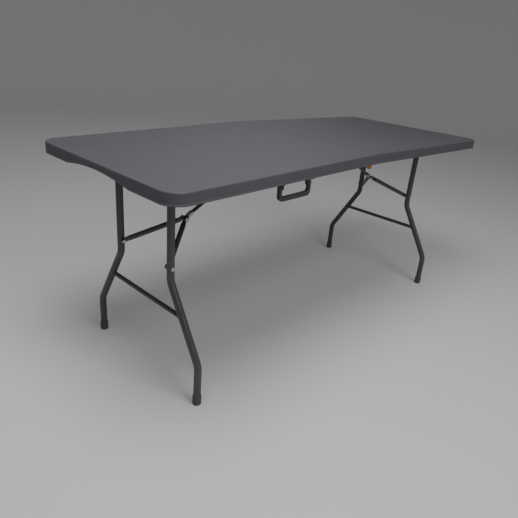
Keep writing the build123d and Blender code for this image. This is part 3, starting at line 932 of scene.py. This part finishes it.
def grip_stations():
    """The grip's middle line from eye to eye, and where its two posts stand."""
    left, right = grip_low.x + post_width / 2, grip_high.x - post_width / 2
    bottom = grip_low.z + bar_height / 2
    y = (grip_low.y + grip_high.y) / 2
    corners = [
        Vector((left, y, grip_axis.z)),
        Vector((left, y, bottom)),
        Vector((right, y, bottom)),
        Vector((right, y, grip_axis.z)),
    ]
    path = rounded_path(corners, handle_corner - post_width / 2, math.radians(10))
    fine = [path[0]]
    for before, after in zip(path, path[1:]):
        parts = max(1, round((after - before).length / grip_step))
        fine += [before.lerp(after, i / parts) for i in range(1, parts + 1)]
    return fine, left, right


def rounded_section(half_width, half_depth, radius):
    """A rectangle with round corners, as offsets in the handle's plane and across it."""
    outline = []
    for turn, (u, v) in enumerate(((1, 1), (-1, 1), (-1, -1), (1, -1))):
        centre = (u * (half_width - radius), v * (half_depth - radius))
        outline += quarter(centre, radius, 90 * turn, 90 * turn + 90, 4)
    return outline


def grip_mesh():
    """The whole grip: a rounded bar with ridges under it, and a round eye on top of each post."""
    mesh = bmesh.new()
    path, left, right = grip_stations()
    depth = (grip_high.y - grip_low.y) / 2
    middle = (left + right) / 2
    rows = []
    for k, spot in enumerate(path):
        ahead = path[min(k + 1, len(path) - 1)] - path[max(k - 1, 0)]
        tangent = ahead.normalized()
        inward = tangent.cross(Vector((0, 1, 0)))
        level = abs(tangent.x)
        half = post_width / 2 * (1 - level) + bar_height / 2 * level
        ridge = 0
        from_middle = abs(spot.x - middle)
        if from_middle < ridge_reach and level > 0.9:
            fade = smooth(min((ridge_reach - from_middle) / ridge_fade, 1))
            wave = 0.5 - 0.5 * math.cos(math.tau * (spot.x - middle) / ridge_pitch)
            ridge = ridge_height * fade * wave
        row = []
        for u, v in rounded_section(half, depth, grip_round):
            if u < 0:
                u += ridge * min(1, -u / (half * 0.6))
            row.append(mesh.verts.new(spot - inward * u + Vector((0, v, 0))))
        rows.append(row)
    strip(mesh, rows)
    mesh.faces.new(rows[0])
    mesh.faces.new(rows[-1])
    eye = min(depth, eye_radius)
    near_end = [(0, eye - eye_chamfer), (eye_chamfer, eye)]
    far_end = [(post_width - distance, radius) for distance, radius in reversed(near_end)]
    for x in (left, right):
        start = (x - post_width / 2, (grip_low.y + grip_high.y) / 2, grip_axis.z)
        turned(mesh, near_end + far_end, start, (1, 0, 0))
    bmesh.ops.recalc_face_normals(mesh, faces=mesh.faces)
    return mesh


finish_mesh(
    "moulded_handle_grip",
    grip_mesh(),
    place_of("left"),
    "handle",
    ["handle_grip"],
    black_plastic,
)

# ------------------------------------------------------------------ fold catch
# A moulded housing on the left half holds a sliding bolt with a bright orange thumb tab, and the
# bolt runs into a pressed steel keeper on the right half.


def orange_abs():
    """Glossy moulded ABS: fine flow marks of about 8 mm in its sheen."""
    settings = {"Base Color": hex_colour("#c47818"), "IOR": 1.53}
    material, tree, shader, place = new_material("orange_abs", settings)
    flow = noise(tree, place, per_metre(8))
    tree.links.new(scaled(tree, flow, 0.3, 0.4), shader.inputs["Roughness"])
    raised(tree, shader, noise(tree, place, per_metre(0.8)), 0.05, 0.0001)
    return material


softened("catch_housing", moulded_edge, black_plastic)
softened("catch_keeper", sheet_edge, powder_coat)
softened("catch_bolt", moulded_edge, orange_abs())

# ------------------------------------------------------------------ floor, light and camera
# A plain pale floor that curves up all round, a soft key light from the front, one overhead at the
# left end and a faint one behind, with the camera above the left end of the front edge.

floor_radius, sweep_radius, wall_height = 6.5, 2.5, 5.5


def floor_sheet():
    """A wide round floor that curves up into a wall all the way round."""
    profile = [(radius, 0) for radius in (1.5, 3, 4.5)]
    for i in range(17):
        turn = math.radians(90 * i / 16)
        out = floor_radius + sweep_radius * math.sin(turn)
        profile.append((out, sweep_radius * (1 - math.cos(turn))))
    profile.append((floor_radius + sweep_radius, wall_height))
    mesh = bmesh.new()
    rows = []
    for out, up in profile:
        turns = [math.tau * i / 96 for i in range(96)]
        rows.append([mesh.verts.new((out * math.cos(t), out * math.sin(t), up)) for t in turns])
    strip(mesh, rows)
    mesh.faces.new(rows[0])
    bmesh.ops.recalc_face_normals(mesh, faces=mesh.faces)
    data = bpy.data.meshes.new("paper_floor")
    mesh.to_mesh(data)
    mesh.free()
    data.shade_smooth()
    return data


yaw, pitch, roll = 0.82613, 0.4133, 0.08723
floor = bpy.data.objects.new("paper_floor", floor_sheet())
bpy.context.scene.collection.objects.link(floor)
paper = new_material("matt_paper", {"Base Color": hex_colour("#dedddb"), "Roughness": 0.9})[0]
floor.data.materials.append(paper)


def area_light(name, spot, target, size, power):
    """A round soft light at a spot, turned to a target."""
    data = bpy.data.lights.new(name, "AREA")
    data.shape = "DISK"
    data.size = size
    data.energy = power
    lamp = bpy.data.objects.new(name, data)
    lamp.location = spot
    lamp.rotation_euler = (Vector(target) - Vector(spot)).to_track_quat("-Z", "Y").to_euler()
    bpy.context.scene.collection.objects.link(lamp)


area_light("key", (-0.5, -3.0, 2.9), (-0.2, 0, 0.5), 2.2, 46)
area_light("overhead", (-0.9, -0.4, 2.6), (-0.9, -0.25, 0.7), 1.5, 36)
area_light("back", (2.4, 2.6, 2.4), (0, 0, 0.5), 2.4, 4)

world = bpy.data.worlds.new("studio")
world.use_nodes = True
world.node_tree.nodes["Background"].inputs["Color"].default_value = hex_colour("#e6e8ec")
world.node_tree.nodes["Background"].inputs["Strength"].default_value = 0.28
bpy.context.scene.world = world

forward = Vector(
    (math.sin(yaw) * math.cos(pitch), math.cos(yaw) * math.cos(pitch), -math.sin(pitch))
)
level_right = Vector((math.cos(yaw), -math.sin(yaw), 0))
level_up = level_right.cross(forward)
right = math.cos(roll) * level_right + math.sin(roll) * level_up
up = right.cross(forward)
lens = bpy.data.cameras.new("camera")
lens.lens = 34.36
lens.clip_start = 0.05
camera = bpy.data.objects.new("camera", lens)
camera.matrix_world = Matrix.Translation((-1.57446, -1.28087, 1.09512)) @ Matrix(
    (right, up, -forward)
).transposed().to_4x4()
bpy.context.scene.collection.objects.link(camera)
bpy.context.scene.camera = camera
